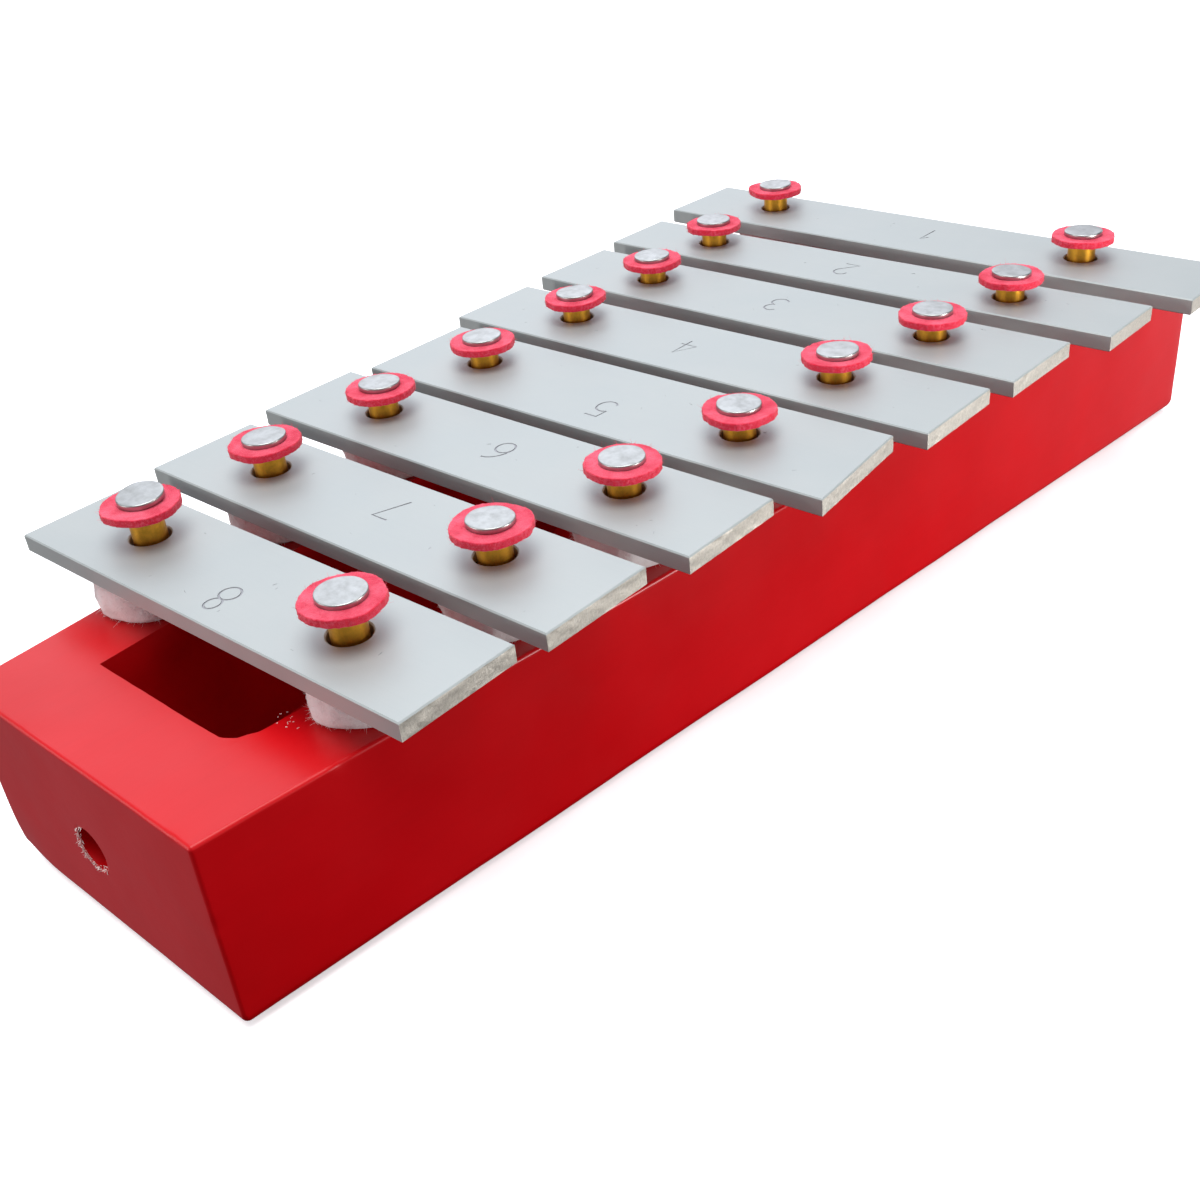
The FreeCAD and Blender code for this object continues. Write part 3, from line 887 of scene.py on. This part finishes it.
def make_nails(note):
    """A bar's two flat-headed nails, from their points in the rails to their hammered heads."""
    node = f"nails_{note}"
    chance = random.Random(f"nail {note}")
    felt_tops = [high.z for _, high in solid_boxes(f"top_felts_{note}")]
    shank, tip, point_length, soft = 1.4 * MM, 0.2 * MM, 4 * MM, 0.16 * MM
    bm = bmesh.new()
    for side, ((low, high), head_base) in enumerate(zip(solid_boxes(node), felt_tops)):
        centre = foot(low, high)
        centre.z = head_base
        radius, height, depth = (high.x - low.x) / 2, high.z - head_base, head_base - low.z
        profile = [(0.0, -depth), (tip, -depth), (shank, point_length - depth)]
        profile += [(shank, -depth * k / 8) for k in (6, 4, 2)] + [(shank, 0.0)]
        profile += [(radius - soft * 0.4, 0.0), (radius, soft * 0.5), (radius, height - soft)]
        for k in range(1, 5):
            angle = math.pi / 2 * k / 4
            profile.append((radius - soft + soft * math.cos(angle), height - soft + soft * math.sin(angle)))
        profile += [((radius - soft) * k / 11, height) for k in range(10, 0, -1)] + [(0.0, height)]
        seed = noise_place(chance)
        lean = Vector((chance.uniform(-0.03, 0.03), chance.uniform(-0.03, 0.03)))
        bent, lean = BENT_HEADS.get((note, side), (Vector((0, 0, 0)), lean))

        def shape(point, seed=seed, lean=lean, height=height, radius=radius, bent=bent):
            if point.z < 0:
                return point
            beyond_shank = max(0.0, math.hypot(point.x, point.y) / radius * 3 - 1)
            point = point + bent * min(1.0, beyond_shank + point.z / height)
            out = math.hypot(point.x - bent.x, point.y - bent.y)
            high_up = (point.z - bent.z) / height
            crown = 0.08 * max(0.0, 1 - (out / radius) ** 2) * high_up
            dent = noise.noise(point * 380 + seed) * 0.06 * high_up
            facet = abs(noise.noise(point * 160 + seed * 2)) * 0.12 * high_up
            edge = 1 + noise.noise(Vector((point.x, point.y, 0)).normalized() * 1.1 + seed) * 0.03 * high_up
            lift = (crown + dent - facet) * MM + point.x * lean.x + point.y * lean.y
            return Vector((point.x * edge, point.y * edge, point.z + lift))

        turn(bm, profile, centre, segments=72, shape=shape)
    pair = finish_mesh(bm, f"{node}_bright", [BRIGHT], 50)
    stand_in_for(pair, BOX_BODY, "nail_aluminium", node)


for note in NOTES:
    make_base_felts(note)
    make_tubes(note)
    make_top_felts(note)
    make_nails(note)


# ---------------------------------------------------------------- studio

FLOOR_HALF = 4.0
FLOOR_CELLS = 40
FLOOR_DROP = 0.3 * MM
DOME_RADIUS = 3.9

# Where the air is brighter: a direction, how narrow the glow is, and how bright.
WINDOWS = (
    ((0, 0, 1), 2.0, 0.62),
    ((-1, 0, 0), 2.0, 0.34),
    # What the tops of the box and the bars mirror towards the main camera.
    ((-0.6, 0.6, 0.53), 6.0, 1.80),
    # What the far end of the side mirrors.
    ((0.2, 0.97, -0.17), 22.0, 1.9),
    # Soft light for the nail heads when they are seen from behind.
    ((0, -1, 0.3), 3.0, 0.24),
    ((1, 0, 0.35), 4.0, 0.22),
)


def make_backdrop():
    """A pale dome far behind everything, so that no view shows the dark air. It lights nothing."""
    pale = Shader("studio_backdrop_pale", Roughness=1.0, Specular_IOR_Level=0.0)
    pale.surface.inputs["Base Color"].default_value = (0, 0, 0, 1)
    pale.surface.inputs["Emission Color"].default_value = (1, 1, 1, 1)
    pale.surface.inputs["Emission Strength"].default_value = 1
    bm = bmesh.new()
    bmesh.ops.create_icosphere(bm, subdivisions=4, radius=DOME_RADIUS)
    bmesh.ops.reverse_faces(bm, faces=bm.faces[:])
    dome = finish_mesh(bm, "studio_backdrop", [pale.material], 180)
    for ray in ("diffuse", "glossy", "transmission", "shadow", "volume_scatter"):
        setattr(dome, f"visible_{ray}", False)


def make_floor():
    """A plain pale floor just under the box. It neither lights the object nor shows in its reflections."""
    bm = bmesh.new()
    bmesh.ops.create_grid(bm, x_segments=FLOOR_CELLS, y_segments=FLOOR_CELLS, size=FLOOR_HALF)
    for vertex in bm.verts:
        vertex.co.z = -FLOOR_DROP
    floor = finish_mesh(bm, "studio_floor", [make_floor_material()], 30)
    floor.visible_diffuse = False
    floor.visible_glossy = False


def make_light(name, energy, size, place, target):
    """A round white lamp, in watts and metres, turned towards a target."""
    light = bpy.data.lights.new(name, "AREA")
    light.energy = energy
    light.shape = "DISK"
    light.size = size
    holder = bpy.data.objects.new(name, light)
    holder.location = place
    holder.rotation_mode = "QUATERNION"
    holder.rotation_quaternion = (Vector(target) - Vector(place)).to_track_quat("-Z", "Y")
    holder.visible_camera = False
    bpy.context.scene.collection.objects.link(holder)


def make_world():
    """Air that is brighter towards some windows."""
    world = bpy.data.worlds.new("studio_air")
    world.use_nodes = True
    tree = world.node_tree

    def math_node(operation, first, second):
        node = tree.nodes.new("ShaderNodeMath")
        node.operation = operation
        for socket, value in zip(node.inputs, (first, second)):
            if isinstance(value, float):
                socket.default_value = value
            else:
                tree.links.new(value, socket)
        return node.outputs["Value"]

    direction = tree.nodes.new("ShaderNodeTexCoord").outputs["Generated"]
    total = None
    for towards, narrowness, brightness in WINDOWS:
        facing = tree.nodes.new("ShaderNodeVectorMath")
        facing.operation = "DOT_PRODUCT"
        facing.inputs[1].default_value = Vector(towards).normalized()
        tree.links.new(direction, facing.inputs[0])
        ahead = math_node("MAXIMUM", facing.outputs["Value"], 0.0)
        glow = math_node("MULTIPLY", math_node("POWER", ahead, narrowness), brightness)
        total = math_node("ADD", total, glow) if total else glow
    tree.links.new(total, tree.nodes["Background"].inputs["Strength"])
    tree.nodes["Background"].inputs["Color"].default_value = (0.965, 0.975, 1.08, 1)
    bpy.context.scene.world = world


def make_camera():
    """The photograph's viewpoint: high on the right of the near end, tipped a little to one side."""
    camera = bpy.data.cameras.new("main_camera")
    camera.sensor_width = 36
    camera.lens = 41.24
    camera.clip_start = 0.01
    holder = bpy.data.objects.new("main_camera", camera)
    turned_left, tipped_down, rolled = math.radians(44.62), math.radians(31.853), math.radians(5.9)
    place = Matrix.Translation((0.1523, -0.1709, 0.1371))
    turned = Matrix.Rotation(turned_left, 4, "Z") @ Matrix.Rotation(math.pi / 2 - tipped_down, 4, "X")
    holder.matrix_world = place @ turned @ Matrix.Rotation(-rolled, 4, "Z")
    bpy.context.scene.collection.objects.link(holder)
    bpy.context.scene.camera = holder


make_floor()
make_backdrop()
make_world()
make_light("far_window", 0.47, 0.08, (0.24, 0.058, 0.03), (0.03, 0.055, 0.018))
make_light("end_fill", 1.7, 0.2, (-0.35, -0.85, 0.12), (0, -0.1, 0.015))
make_light("near_fill", 1.7, 0.7, (-0.75, -0.85, 0.26), (0, -0.1, 0.02))
make_light("overhead_softbox", 10.6, 0.9, (0.1, -0.1, 1.1), (0, 0, 0.03))
make_camera()
bpy.context.scene.view_settings.view_transform = "Standard"
